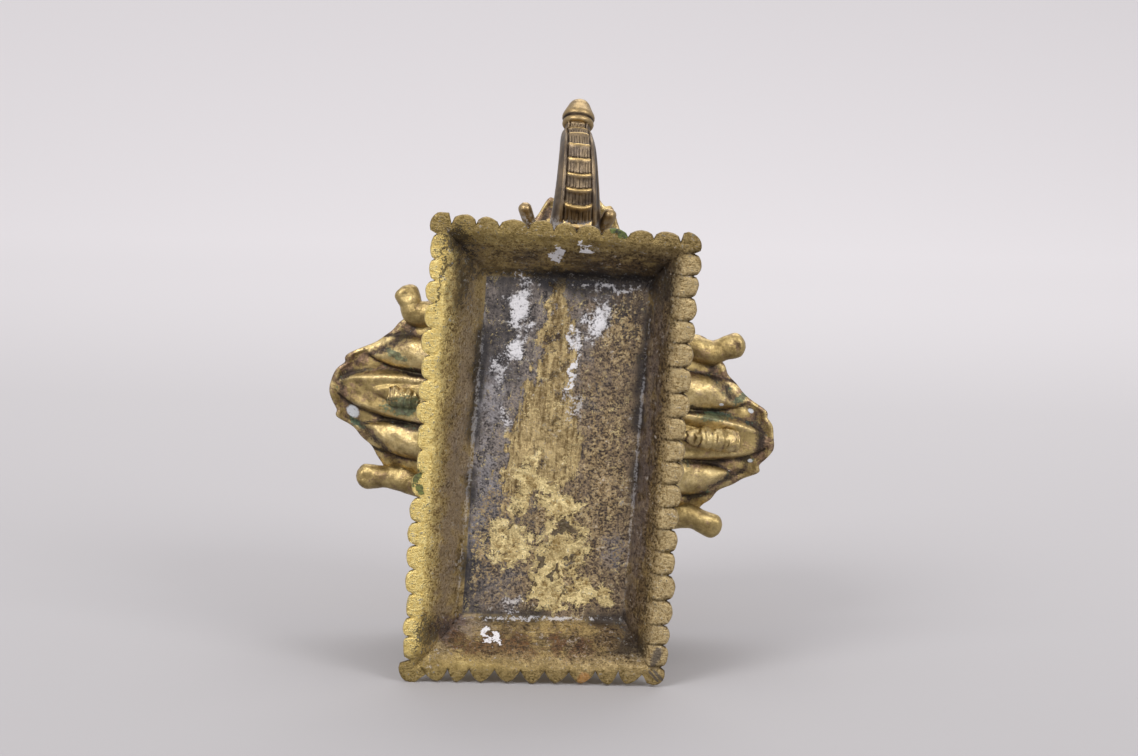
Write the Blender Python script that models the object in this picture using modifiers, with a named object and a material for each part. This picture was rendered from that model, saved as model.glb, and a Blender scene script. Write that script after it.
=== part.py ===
"""A cast brass oil lamp: an elephant on a hollow lotus foot carries a pan with four leaf-shaped wick spouts.

Metres, +Z up. The elephant faces -Y. The origin is the middle of the underside of the bounding box.
"""

import math
import random

import bmesh
import bpy
from mathutils import Matrix, Vector

MM = 0.001
GAP = 0.3 * MM  # between pieces that are soldered together

# Lotus foot
FOOT_WIDTH = 75.6 * MM  # between the notches of opposite long sides
FOOT_LENGTH = 133.6 * MM
FOOT_HEIGHT = 18 * MM
DECK_THICKNESS = 3 * MM
SKIRT_WALL = 2.4 * MM
RIM_EDGE = 1.5 * MM
FLANGE_WIDTH = 4.1 * MM
SIDE_SLOPE = 8.8 * MM  # how far the wall of a long side leans out
END_SLOPE = 10.7 * MM
DECK_SHIFT = 1.6 * MM  # the deck was cast a little off centre
RIM_SLANTS = (-0.7 * MM, 4.3 * MM)  # how much further forward the right end of the front and rear edge lies
DECK_SLANTS = (2.5 * MM, 3.3 * MM)
LOBE_REACH = 1.8 * MM
SIDE_LOBES = 19  # pitches from corner to corner
END_LOBES = 10
CORNICE = 1.5 * MM
GROOVE = 0.8 * MM

# Elephant: set out in parts, of which its height has 48, from the middle of the deck
FIGURE_HEIGHT = 48 * MM  # from the soles to the top of the stem
PART = FIGURE_HEIGHT / 48
LEG_SPREAD = 12.5
LEG_RADIUS = 6.8
STEM_RADIUS = 9
TRUNK_REACH = 102
TRUNK_LIFT = 31  # height of the knob's middle over the soles
TRUNK_SHIFTS = (3.4, 1.2)  # of its root and its tip towards the figure's left
TRUNK_ROOT_RADIUS = 8
TRUNK_TIP_RADIUS = 4.5
SCUTES = 10
SCUTE_STEP = 0.7
KNOB_LENGTH = 9.5
TUSK_RADIUS = 1.9
TUSK_SPREAD = 13.5
TUSK_REACH = 71.5

# Wick pan
ARM_REACH = 72 * MM
PAN_DEPTH = 15 * MM
PAN_WALL = 1.6 * MM
PAN_SHIFT = 1 * MM  # towards the trunk
PAN_TWIST = math.radians(3.3)
LOBE_RADIUS = 4 * MM
LOBE_LENGTH = 11 * MM
KEEL_RADIUS = 3.7 * MM
KEEL_LUMPS = 5


# Helpers


def clear_scene():
    for obj in list(bpy.data.objects):
        bpy.data.objects.remove(obj)


def collection(name, hidden=False):
    made = bpy.data.collections.new(name)
    bpy.context.scene.collection.children.link(made)
    made.hide_render = hidden
    return made


def brass(name, colour, roughness):
    made = bpy.data.materials.new(name)
    made.use_nodes = True
    shader = made.node_tree.nodes["Principled BSDF"]
    shader.inputs["Base Color"].default_value = (*colour, 1)
    shader.inputs["Metallic"].default_value = 1
    shader.inputs["Roughness"].default_value = roughness
    return made


def link(name, mesh, where, material=None):
    if material:
        mesh.materials.append(material)
    made = bpy.data.objects.new(name, mesh)
    where.objects.link(made)
    return made


def mesh_object(name, bm, where, material=None):
    bmesh.ops.recalc_face_normals(bm, faces=bm.faces)
    mesh = bpy.data.meshes.new(name)
    bm.to_mesh(mesh)
    bm.free()
    return link(name, mesh, where, material)


def skin(bm, rings):
    """Faces between rings of points, and a cap over the first and the last."""
    loops = [[bm.verts.new(point) for point in ring] for ring in rings]
    count = len(loops[0])
    for one, other in zip(loops, loops[1:]):
        for i in range(count):
            j = (i + 1) % count
            bm.faces.new((one[i], one[j], other[j], other[i]))
    bm.faces.new(loops[0])
    bm.faces.new(reversed(loops[-1]))


def tapered_tube(name, where, points, radii, roundness=2):
    """A tube with its own radius at each point and flat ends."""
    curve = bpy.data.curves.new(name, "CURVE")
    curve.dimensions = "3D"
    curve.bevel_depth = 1
    curve.bevel_resolution = roundness
    curve.use_fill_caps = True
    spline = curve.splines.new("POLY")
    spline.points.add(len(points) - 1)
    for spot, point, radius in zip(spline.points, points, radii):
        spot.co = (*point, 1)
        spot.radius = radius
    bent = bpy.data.objects.new(name, curve)
    bm = bmesh.new()
    bm.from_mesh(bent.to_mesh())
    bpy.data.objects.remove(bent)
    bmesh.ops.remove_doubles(bm, verts=bm.verts, dist=0.001 * MM)
    return mesh_object(name, bm, where)


def boolean(target, tools, operation):
    """Joins the tools to the target, or cuts them from it, in one step."""
    group = bpy.data.collections.new(f"{target.name} {operation.lower()}")
    bpy.data.collections["cutters"].children.link(group)
    for tool in tools:
        group.objects.link(tool)
        tool.hide_render = True
        tool.display_type = "WIRE"
        tool.parent = target
    made = target.modifiers.new(operation.lower(), "BOOLEAN")
    made.operation = operation
    made.operand_type = "COLLECTION"
    made.collection = group
    made.solver = "MANIFOLD"


def smoothstep(share):
    share = min(max(share, 0), 1)
    return share * share * (3 - 2 * share)


def curve_through(points, steps):
    """Points on a Catmull-Rom curve through the given ones, with this many steps between each two."""
    ends = [2 * points[0] - points[1], *points, 2 * points[-1] - points[-2]]
    made = []
    for before, start, end, after in zip(ends, ends[1:], ends[2:], ends[3:]):
        for step in range(steps):
            t = step / steps
            linear = 2 * start + (end - before) * t
            square = (2 * before - 5 * start + 4 * end - after) * t**2
            cube = (3 * start - before - 3 * end + after) * t**3
            made.append((linear + square + cube) / 2)
    return [*made, points[-1]]


# Lotus foot


def foot_stations():
    """Places round a unit square, each with its outward direction and its share of a lobe's reach."""
    wobble = random.Random(4)
    corners = [Vector((1, -1)), Vector((1, 1)), Vector((-1, 1)), Vector((-1, -1))]
    pitches = [SIDE_LOBES, END_LOBES, SIDE_LOBES, END_LOBES]
    shares = [1.0, 0.8, 0.0, 0.8]
    stations = []
    for turn, (corner, lobes) in enumerate(zip(corners, pitches)):
        ahead = corners[(turn + 1) % 4] - corner
        outward = Vector((ahead.y, -ahead.x)).normalized()
        height = 1.2
        stations.append((corner, corner.normalized(), 1.5))
        for step in range(1, 4 * lobes):
            if step % 4 == 2:
                height = wobble.uniform(0.75, 1.1) if step < 4 * lobes - 2 else 1.2
            stations.append((corner + ahead * step / (4 * lobes), outward, shares[step % 4] * height))
    return stations


def foot_ring(stations, inset, lean, z, lobe_share=0.0, shift=0.0):
    """One level of the foot: set in from the rim, and leaned in by a share of the walls' slope."""
    half_width = FOOT_WIDTH / 2 - inset - lean * SIDE_SLOPE
    half_length = FOOT_LENGTH / 2 - inset - lean * END_SLOPE
    front, rear = (rim + (deck - rim) * lean for rim, deck in zip(RIM_SLANTS, DECK_SLANTS))
    ring = []
    for place, outward, lobe in stations:
        reach = outward * LOBE_REACH * lobe * lobe_share
        x = place.x * half_width + reach.x + shift * DECK_SHIFT
        slant = front + (rear - front) * (place.y + 1) / 2
        y = place.y * half_length - place.x * slant / 2 + reach.y
        ring.append(Vector((x, y, z)))
    return ring


def lotus_foot(where, material):
    stations = foot_stations()
    cavity = FOOT_HEIGHT - DECK_THICKNESS
    deck = FLANGE_WIDTH - SKIRT_WALL
    neck = FOOT_HEIGHT - CORNICE - GROOVE
    belly = 0.45  # height of the petals' fullest part, as a share of the cavity's depth
    rings = [
        foot_ring(stations, deck, 1, FOOT_HEIGHT, shift=1),
        foot_ring(stations, deck, 1, FOOT_HEIGHT - CORNICE, shift=1),
        foot_ring(stations, deck + GROOVE, 1, neck, shift=1),
        foot_ring(stations, deck - GROOVE, 1 - belly, cavity * belly, 0.7, 0.5),
        foot_ring(stations, 0, 0, RIM_EDGE, 1),
        foot_ring(stations, 0, 0, 0, 1),
        foot_ring(stations, FLANGE_WIDTH, 0, 0),
        foot_ring(stations, FLANGE_WIDTH, 1, cavity, shift=1),
    ]
    bm = bmesh.new()
    skin(bm, rings)
    return mesh_object("lotus_foot", bm, where, material)


# Elephant


def ball(bm, centre, size, lean=0.0):
    """An ellipsoid, leaned about X."""
    place = Matrix.Translation(Vector(centre) * PART) @ Matrix.Rotation(math.radians(lean), 4, "X")
    scale = Matrix.Diagonal((*(Vector(size) * PART), 1))
    bmesh.ops.create_uvsphere(bm, u_segments=24, v_segments=16, radius=1, matrix=place @ scale)


def limb(bm, points, radii):
    """A tapering limb: a ball at each point and a cone between each two."""
    for point, radius in zip(points, radii):
        ball(bm, point, (radius, radius, radius))
    for start, end, low, high in zip(points, points[1:], radii, radii[1:]):
        start, end = Vector(start) * PART, Vector(end) * PART
        along = end - start
        turn = along.to_track_quat("Z", "Y").to_matrix().to_4x4()
        bmesh.ops.create_cone(
            bm,
            cap_ends=True,
            segments=20,
            radius1=low * PART,
            radius2=high * PART,
            depth=along.length,
            matrix=Matrix.Translation((start + end) / 2) @ turn,
        )


def figure_body(where, material):
    """Body, head, legs, ears and tail, fused into one skin."""
    bm = bmesh.new()
    ball(bm, (0, 0, 27), (17.5, 34, 13.5))
    ball(bm, (0, 21, 27.5), (17, 19, 14))
    ball(bm, (0, -20, 28.5), (15.5, 18, 13), 10)
    for side in (-1, 1):
        for y, bend in ((-25, 2), (27, -2)):
            points = [(side * (LEG_SPREAD - 1), y, 23), (side * LEG_SPREAD, y - bend, 11), (side * LEG_SPREAD, y, 2)]
            limb(bm, points, [LEG_RADIUS + 2, LEG_RADIUS, LEG_RADIUS + 0.8])
        ball(bm, (side * 5.5, -45, 37), (6.5, 8, 6.5))
        ball(bm, (side * 14, -35, 26), (2.6, 10, 12.5), -14)
        limb(bm, [(side * 7, -55, 19), (side * 9, -60, 15)], [5, 3.4])
    ball(bm, (0, -46, 29), (12.5, 14, 14), 20)
    ball(bm, (0, -57, 20), (8.5, 9, 10), 30)
    limb(bm, [(0, -50, 13), (0, -58, 9)], [4.4, 3])
    limb(bm, [(0, 37, 34), (0, 42, 24), (1, 42.5, 14), (2, 41.5, 8)], [3, 2.2, 1.9, 2.6])
    body = mesh_object("elephant", bm, where, material)
    remesh = body.modifiers.new("one skin", "REMESH")
    remesh.mode = "VOXEL"
    remesh.voxel_size = 1.1 * PART
    soften = body.modifiers.new("soften", "SMOOTH")
    soften.factor = 0.6
    soften.iterations = 5
    fewer = body.modifiers.new("fewer faces", "DECIMATE")
    fewer.ratio = 0.045
    return body


def saddle(where):
    """The cloth that lies over the back."""
    bm = bmesh.new()
    ball(bm, (0, 1, 26.5), (18.8, 17, 15.2))
    return mesh_object("saddle_cloth", bm, where)


def stem(where):
    """The waisted stem on the cloth, to which the pan is soldered."""
    profile = [(STEM_RADIUS, 48), (STEM_RADIUS, 46.5), (0.72 * STEM_RADIUS, 44.5), (1.15 * STEM_RADIUS, 38)]
    rings = []
    for radius, z in profile:
        turns = [2 * math.pi * step / 20 for step in range(20)]
        rings.append([Vector((radius * math.cos(turn), radius * math.sin(turn), z)) * PART for turn in turns])
    bm = bmesh.new()
    skin(bm, rings)
    return mesh_object("stem", bm, where)


def trunk_ring(centre, along, radius, proud=None):
    """A cross-section of the trunk. With proud given, its underside is a flat strip, standing out by that much."""
    across = Vector((1, 0, 0))
    under = Vector((0, -along.z, along.y)).normalized()
    ring = []
    for step in range(14):
        turn = 2 * math.pi * (step + 0.5) / 14
        drop = math.cos(turn) * radius
        if proud is not None and math.cos(turn) > 0.7:
            drop = 0.86 * radius + proud
        ring.append((centre + across * math.sin(turn) * radius + under * drop) * PART)
    return ring


def trunk(where):
    """The trunk runs forward out of the face, sags, and rises to its knob, with scutes along its underside."""
    root = Vector((TRUNK_SHIFTS[0], -53, 20))
    tip = Vector((TRUNK_SHIFTS[1], -TRUNK_REACH + KNOB_LENGTH / 2, TRUNK_LIFT - KNOB_LENGTH / 2))
    lean = tip.x - root.x
    reach = root.y - tip.y
    spine = [
        root,
        root + Vector((0, -0.22 * reach, -5)),
        root + Vector((0, -0.42 * reach, -8.6)),
        root + Vector((0.3 * lean, -0.62 * reach, -8)),
        root + Vector((0.6 * lean, -0.8 * reach, -3.5)),
        tip + Vector((0, 0.07 * reach, -4.5)),
        tip,
    ]
    line = curve_through(spine, 5)
    rings = []
    for i, centre in enumerate(line):
        along = (line[min(i + 1, len(line) - 1)] - line[max(i - 1, 0)]).normalized()
        share = i / (len(line) - 1)
        radius = TRUNK_ROOT_RADIUS + (TRUNK_TIP_RADIUS - TRUNK_ROOT_RADIUS) * share**0.8
        rings.append(trunk_ring(centre, along, radius, share * SCUTES % 1 * SCUTE_STEP))
    for reach, width in ((0.05, 0.95), (0.12, 1.07), (0.24, 1.04), (0.36, 1.05), (0.6, 0.9), (0.85, 0.55), (1, 0.3)):
        rings.append(trunk_ring(tip + along * KNOB_LENGTH * reach, along, TRUNK_TIP_RADIUS * width))
    bm = bmesh.new()
    skin(bm, rings)
    return mesh_object("trunk", bm, where)


def tusk(where, side):
    root = Vector((side * TUSK_SPREAD / 2, -58, 17)) * PART
    tip = Vector((side * TUSK_SPREAD, -TUSK_REACH, 12)) * PART
    shares = [0.0, 0.5, 0.88, 0.97, 1.0]
    widths = [0.9, 1.0, 1.0, 0.75, 0.35]
    radii = [TUSK_RADIUS * PART * width for width in widths]
    return tapered_tube("tusk", where, [root.lerp(tip, share) for share in shares], radii)


def sole_cutter(where):
    """A block under the figure that leaves its soles flat."""
    bm = bmesh.new()
    depth = 30 * PART
    size = Matrix.Diagonal((4 * LEG_SPREAD * PART, 3 * TRUNK_REACH * PART, depth, 1))
    bmesh.ops.create_cube(bm, size=1, matrix=Matrix.Translation((0, 0, -depth / 2)) @ size)
    return mesh_object("sole_cutter", bm, where)


def elephant(where, cutters, material):
    body = figure_body(where, material)
    boolean(body, [saddle(cutters), stem(cutters), trunk(cutters), tusk(cutters, -1), tusk(cutters, 1)], "UNION")
    boolean(body, [sole_cutter(cutters)], "DIFFERENCE")
    return body


# Wick pan


def arm_edge():
    """Half of one arm's outline, from its nose to the notch between two arms."""
    shares = [
        (1.0, 0.0),
        (0.993, 0.07),
        (0.968, 0.13),
        (0.87, 0.175),
        (0.77, 0.26),
        (0.71, 0.34),
        (0.64, 0.42),
        (0.55, 0.44),
        (0.45, 0.45),
    ]
    return curve_through([Vector(share) * ARM_REACH for share in shares], 6)


def edge_distance(edge, angle):
    """How far the pan's edge lies from its middle, at an angle from the nearest arm's line."""
    for one, other in zip(edge, edge[1:]):
        low, high = math.atan2(one.y, one.x), math.atan2(other.y, other.x)
        if low <= angle <= high:
            return one.lerp(other, (angle - low) / max(high - low, 1e-9)).length
    return edge[-1].length


def petal(out, across, start, end, middle, half_width):
    """Height of one petal over its bed, from 0 at its edge to 1 along its middle, all in shares of the reach."""
    along = 2 * (out - start) / (end - start) - 1
    if abs(along) >= 1:
        return 0.0
    share = abs(across - middle) / (half_width * math.sqrt(1 - along * along))
    return math.sqrt(1 - share * share) if share < 1 else 0.0


def pan_depths(out, across, rim_share):
    """Depths under the rim of the pan's inside and of its petalled underside, at a place on an arm."""
    out, across = out / ARM_REACH, across / ARM_REACH
    fall = 1 - smoothstep((out - 0.36) / 0.64)
    relief = max(
        petal(out, across, -0.2, 0.99, 0, 0.118),
        0.85 * petal(out, across, 0.2, 0.86, 0.17, 0.085),
        0.85 * petal(out, across, 0.2, 0.86, -0.17, 0.085),
    )
    if out < 0.3:
        relief = 1
    inside = 0.55 * PAN_DEPTH * fall * (1 - rim_share**3)
    bed = inside + PAN_WALL
    spare = max(0.0, PAN_DEPTH * (0.3 + 0.7 * fall) - bed)
    return inside, bed + spare * smoothstep((1 - rim_share) / 0.14) * (0.25 + 0.75 * relief)


def pan_shell(where, material):
    edge = arm_edge()
    outer = [(share, 1) for share in (0.3, 0.46, 0.58, 0.68, 0.77, 0.85, 0.92, 0.97, 1.0)]
    inner = [(share, 0) for share in (1.0, 0.93, 0.75, 0.4)]
    rings = []
    for share, side in outer + inner:
        ring = []
        for step in range(96):
            turn = 2 * math.pi * step / 96
            from_arm = (turn + math.pi / 4) % (math.pi / 2) - math.pi / 4
            distance = edge_distance(edge, abs(from_arm)) * share
            depths = pan_depths(distance * math.cos(from_arm), distance * math.sin(from_arm), share)
            ring.append(Vector((distance * math.cos(turn), distance * math.sin(turn), -depths[side])))
        rings.append(ring)
    bm = bmesh.new()
    skin(bm, rings)
    return mesh_object("lamp_pan", bm, where, material)


def curled_lobe(where, arm_turn, flank, splay):
    """A finger-like lobe curling away from an arm's shoulder."""
    base = Vector((0.69, 0.335 * flank, -0.045)) * ARM_REACH
    inner = Vector((0.58, 0.37 * flank, -0.06)) * ARM_REACH
    away = Vector((math.cos(splay), math.sin(splay) * flank, 0.12)) * LOBE_LENGTH
    points = curve_through([inner, base, base + away * 0.55, base + away], 2)
    widths = [0.75, 0.9, 0.9, 0.95, 1.0, 0.9, 0.4]
    made = tapered_tube("curled_lobe", where, points, [LOBE_RADIUS * width for width in widths], 1)
    made.rotation_euler.z = arm_turn
    return made


def keel(where, arm_turn, start, length, radius):
    """The knobbed ridge under a side arm, pointed at its inner end."""
    outer = Vector((start, 0, -0.11)) * ARM_REACH
    ahead = Vector((-0.97, 0, -0.24)) * length
    steps = 4 * KEEL_LUMPS
    shares = [step / steps for step in range(steps + 1)]
    points = [outer + ahead * share for share in shares]
    radii = []
    for share in shares:
        lump = 0.88 + 0.12 * math.cos(2 * math.pi * KEEL_LUMPS * share)
        radii.append(radius * lump * min(1, 0.35 + 2.2 * (1 - share)))
    made = tapered_tube("keel", where, points, radii, 1)
    made.rotation_euler.z = arm_turn
    return made


def lamp_pan(where, cutters, material):
    shell = pan_shell(where, material)
    splays = [(40, 33), (45, 45), (22, 75), (45, 45)]  # of the lobes on each arm's flanks, in degrees
    added = []
    for arm, flanks in enumerate(splays):
        for flank, splay in zip((-1, 1), flanks):
            added.append(curled_lobe(cutters, arm * math.pi / 2, flank, math.radians(splay)))
    added.append(keel(cutters, 0, 0.84, 0.28 * ARM_REACH, KEEL_RADIUS))
    added.append(keel(cutters, math.pi, 0.73, 0.17 * ARM_REACH, 0.8 * KEEL_RADIUS))
    boolean(shell, added, "UNION")
    return shell


# The lamp


def centre_on_origin(lamp, pieces):
    """Moves the lamp so that the origin is the middle of the underside of its bounding box."""
    bpy.context.view_layer.update()
    graph = bpy.context.evaluated_depsgraph_get()
    points = []
    for piece in pieces:
        seen = piece.evaluated_get(graph)
        points += [seen.matrix_world @ vertex.co for vertex in seen.data.vertices]
    for axis in (0, 1):
        ends = [point[axis] for point in points]
        lamp.location[axis] = -(min(ends) + max(ends)) / 2


def build():
    clear_scene()
    solids = collection("brass_oil_lamp")
    cutters = collection("cutters", hidden=True)
    lamp = bpy.data.objects.new("brass oil lamp", None)
    solids.objects.link(lamp)
    foot = lotus_foot(solids, brass("foot_brass", (0.47, 0.36, 0.14), 0.42))
    figure = elephant(solids, cutters, brass("figure_brass", (0.2, 0.16, 0.1), 0.4))
    pan = lamp_pan(solids, cutters, brass("pan_brass", (0.36, 0.27, 0.12), 0.36))
    figure.location.z = FOOT_HEIGHT + GAP
    pan.location = (0, -PAN_SHIFT, figure.location.z + FIGURE_HEIGHT + GAP + PAN_DEPTH)
    pan.rotation_euler.z = PAN_TWIST
    for piece in (foot, figure, pan):
        piece.parent = lamp
    centre_on_origin(lamp, [foot, figure, pan])


build()
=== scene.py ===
"""The looks of a cast brass oil lamp: an elephant on a hollow lotus foot, with a four-spouted wick pan."""

import math
import random

import bmesh
import bpy
import numpy as np
from mathutils import Matrix, Vector


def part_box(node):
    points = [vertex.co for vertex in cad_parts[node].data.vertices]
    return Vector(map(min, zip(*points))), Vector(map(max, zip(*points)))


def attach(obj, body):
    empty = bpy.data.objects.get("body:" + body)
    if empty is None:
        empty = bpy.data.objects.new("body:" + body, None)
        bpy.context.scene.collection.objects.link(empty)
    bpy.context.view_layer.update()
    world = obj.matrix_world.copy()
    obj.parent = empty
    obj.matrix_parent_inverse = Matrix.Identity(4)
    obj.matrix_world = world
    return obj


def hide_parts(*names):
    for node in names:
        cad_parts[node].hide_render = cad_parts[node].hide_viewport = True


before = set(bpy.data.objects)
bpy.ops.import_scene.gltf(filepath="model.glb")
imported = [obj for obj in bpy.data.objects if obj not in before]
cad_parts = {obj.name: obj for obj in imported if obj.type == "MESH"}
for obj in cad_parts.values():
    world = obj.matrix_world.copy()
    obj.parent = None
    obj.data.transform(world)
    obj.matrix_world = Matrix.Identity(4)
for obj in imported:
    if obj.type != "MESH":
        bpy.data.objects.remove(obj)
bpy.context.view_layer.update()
mm = 0.001

# Camera
# The lamp lies on its side and is seen from under its foot, a little from the trunk's side. The foot's rim
# faces the lens, and the lens is long, so the rim stays almost square.
foot_low, foot_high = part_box("lotus_foot")
foot_middle = Vector(((foot_low.x + foot_high.x) / 2, (foot_low.y + foot_high.y) / 2, foot_low.z))
rim_shift = 0.9 * mm  # the rear edge slants, so the rim's middle is forward of its box's middle
foot_centre = foot_middle - Vector((0, rim_shift, 0))
lens, sensor = 60, 23.6
distance = 850 * mm
pitch = math.radians(9)
roll = math.radians(4.3)
photo_size = Vector((1138, 756))
foot_in_photo = Vector((549, 456))
pixel = distance * sensor / lens / photo_size.x  # one pixel's width at the rim

eye = foot_centre + distance * Vector((0, -math.sin(pitch), -math.cos(pitch)))
screen_up = Vector((-math.sin(roll), -math.cos(roll), 0))
ahead = (foot_centre - eye).normalized()
right = ahead.cross(screen_up).normalized()
up = right.cross(ahead)
offset = (photo_size / 2 - foot_in_photo) * pixel
aim = foot_centre + right * offset.x - up * offset.y
ahead = (aim - eye).normalized()
right = ahead.cross(screen_up).normalized()
up = right.cross(ahead)
bpy.context.scene.view_settings.view_transform = "Standard"
camera = bpy.data.objects.new("camera", bpy.data.cameras.new("camera"))
camera.data.lens = lens
camera.data.sensor_width = sensor
camera.data.clip_start = 10 * mm
camera.matrix_world = Matrix.Translation(eye) @ Matrix((right, up, -ahead)).transposed().to_4x4()
bpy.context.scene.collection.objects.link(camera)
bpy.context.scene.camera = camera

# Studio
# A pale paper sweep that the lamp lies on, a pale floor for the lamp when it stands, and large soft lights.
# The lamp touches the sweep with the rear edge of its foot. Each sheet shows only from its upper side.


class Socket:
    """A value that changes over a surface. Arithmetic on it adds the nodes."""

    def __init__(self, tree, output):
        self.tree = tree
        self.output = output

    def put(self, kind, settings=None, *values, out=0, **named):
        """A node of this type, with its settings, and with its sockets fed by values or links."""
        node = self.tree.nodes.new(kind)
        for name, setting in (settings or {}).items():
            if name == "stops":
                while len(node.color_ramp.elements) < len(setting):
                    node.color_ramp.elements.new(0.5)
                for element, (position, colour) in zip(node.color_ramp.elements, setting):
                    element.position = position
                    element.color = colour
            else:
                setattr(node, name, setting)
        for key, value in [*enumerate(values), *named.items()]:
            if isinstance(value, Socket):
                self.tree.links.new(value.output, node.inputs[key])
            else:
                node.inputs[key].default_value = value
        return Socket(self.tree, node.outputs[out])

    def maths(self, operation, *values):
        return self.put("ShaderNodeMath", {"operation": operation}, *values)

    def __add__(self, other):
        return self.maths("ADD", self, other)

    def __sub__(self, other):
        return self.maths("SUBTRACT", self, other)

    def __rsub__(self, other):
        return self.maths("SUBTRACT", other, self)

    def __mul__(self, other):
        return self.maths("MULTIPLY", self, other)

    def __abs__(self):
        return self.maths("ABSOLUTE", self)

    __radd__ = __add__
    __rmul__ = __mul__

    def over(self, low, high):
        """0 where this is under low, 1 where it is over high, and smooth between."""
        settings = {"interpolation_type": "SMOOTHSTEP"}
        return self.put("ShaderNodeMapRange", settings, self, low, high, 0, 1)

    def largest(self, other):
        return self.maths("MAXIMUM", self, other)


def tone(red, green, blue):
    """A colour as seen in print, from 0 to 255, as the shader's linear values."""
    linear = []
    for value in (red, green, blue):
        share = value / 255
        linear.append(share / 12.92 if value < 10 else ((share + 0.055) / 1.055) ** 2.4)
    return (*linear, 1)


def sheet_material(name, stops):
    """Matt paper, seen through from behind. Its greys go from 1 m below the lamp to 3 m above it."""
    material = bpy.data.materials.new(name)
    material.use_nodes = True
    tree = material.node_tree
    output = tree.nodes["Material Output"]
    paper = tree.nodes["Principled BSDF"]
    place = Socket(tree, tree.nodes.new("ShaderNodeTexCoord").outputs["Object"])
    deep = place.put("ShaderNodeSeparateXYZ", None, place, out=2)
    greys = deep.put("ShaderNodeValToRGB", {"stops": stops}, deep * 0.25 + 0.25)
    tree.links.new(greys.output, paper.inputs["Base Color"])
    paper.inputs["Roughness"].default_value = 0.9
    paper.inputs["Specular IOR Level"].default_value = 0.1
    behind = tree.nodes.new("ShaderNodeNewGeometry").outputs["Backfacing"]
    clear = tree.nodes.new("ShaderNodeBsdfTransparent")
    mix = tree.nodes.new("ShaderNodeMixShader")
    tree.links.new(behind, mix.inputs[0])
    tree.links.new(paper.outputs[0], mix.inputs[1])
    tree.links.new(clear.outputs[0], mix.inputs[2])
    tree.links.new(mix.outputs[0], output.inputs["Surface"])
    return material


def paper_sheet(name, line, across, stops):
    """A sheet that follows a line of points and reaches this vector to each side of it."""
    points = [point + across * side for point in line for side in (-1, 1)]
    faces = [(2 * i, 2 * i + 1, 2 * i + 3, 2 * i + 2) for i in range(len(line) - 1)]
    mesh = bpy.data.meshes.new(name)
    mesh.from_pydata(points, [], faces)
    for face in mesh.polygons:
        face.use_smooth = True
    mesh.materials.append(sheet_material(name, stops))
    sheet = bpy.data.objects.new(name, mesh)
    bpy.context.scene.collection.objects.link(sheet)
    sheet.visible_diffuse = False
    sheet.visible_glossy = False
    sheet.visible_transmission = False
    sheet.visible_shadow = False
    return sheet


paper_gap = 0.2 * mm  # between the lamp and a sheet
paper_reach = 3  # metres
half_across = Vector((paper_reach, 0, 0))
sweep_turn = math.radians(-3.1)  # the foot's rear edge isn't square to its sides
sweep_start, bend_start, bend_radius, bend_steps = -1.2, 1.3, 1.2, 24
sweep_line = [Vector((0, 0, sweep_start)), Vector((0, 0, bend_start))]
for step in range(1, bend_steps + 1):
    turn = math.pi / 2 * step / bend_steps
    rise = bend_radius * (1 - math.cos(turn))
    sweep_line.append(Vector((0, -rise, bend_start + bend_radius * math.sin(turn))))
sweep_line.append(sweep_line[-1] + Vector((0, -paper_reach, 0)))
# The sweep's greys are painted light and shade: darkest near and below the lamp, lighter far above it.
greys = ((0.225, 169), (0.3, 178), (0.4, 188), (0.61, 222), (1.0, 236))
sweep_painted_light = [(place, tone(grey, 0.985 * grey, 0.995 * grey)) for place, grey in greys]
sweep = paper_sheet("sweep", sweep_line, half_across, sweep_painted_light)
sweep.location = (foot_low.x, foot_high.y + paper_gap, 0)
sweep.rotation_euler.z = sweep_turn

floor_grey = tone(200, 197, 199)
floor_line = [Vector((0, -paper_reach, -paper_gap)), Vector((0, paper_reach, -paper_gap))]
paper_sheet("floor", floor_line, half_across, [(0.0, floor_grey), (1.0, floor_grey)])

world = bpy.data.worlds.new("studio")
bpy.context.scene.world = world
world.use_nodes = True
direction = world.node_tree.nodes.new("ShaderNodeTexCoord").outputs["Generated"]
sky = Socket(world.node_tree, direction)
facing = sky.put("ShaderNodeSeparateXYZ", None, sky, out=1)
sky_tones = [(0.0, tone(250, 248, 249)), (0.5, tone(225, 223, 225)), (1.0, tone(170, 168, 172))]
glow = sky.put("ShaderNodeValToRGB", {"stops": sky_tones}, facing * 0.5 + 0.5)
background = world.node_tree.nodes["Background"]
world.node_tree.links.new(glow.output, background.inputs["Color"])
background.inputs["Strength"].default_value = 0.85


def soft_light(name, place, target, size, watts):
    """A square light of this size, turned to the target and not seen itself."""
    light = bpy.data.lights.new(name, "AREA")
    light.shape = "RECTANGLE"
    light.size, light.size_y = size, size
    light.energy = watts
    made = bpy.data.objects.new(name, light)
    made.location = place
    made.rotation_euler = (target - place).to_track_quat("-Z", "Y").to_euler()
    made.visible_camera = False
    bpy.context.scene.collection.objects.link(made)


lamp_heart = foot_middle + Vector((0, 0, 30 * mm))
soft_light("upper left", lamp_heart + Vector((-0.8, -1.0, -1.0)), lamp_heart, 0.6, 12)
soft_light("upper right", lamp_heart + Vector((0.9, -0.9, -1.0)), lamp_heart, 0.6, 9)
soft_light("overhead", lamp_heart + Vector((0.1, -1.2, 0.9)), lamp_heart, 1.0, 8)

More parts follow.
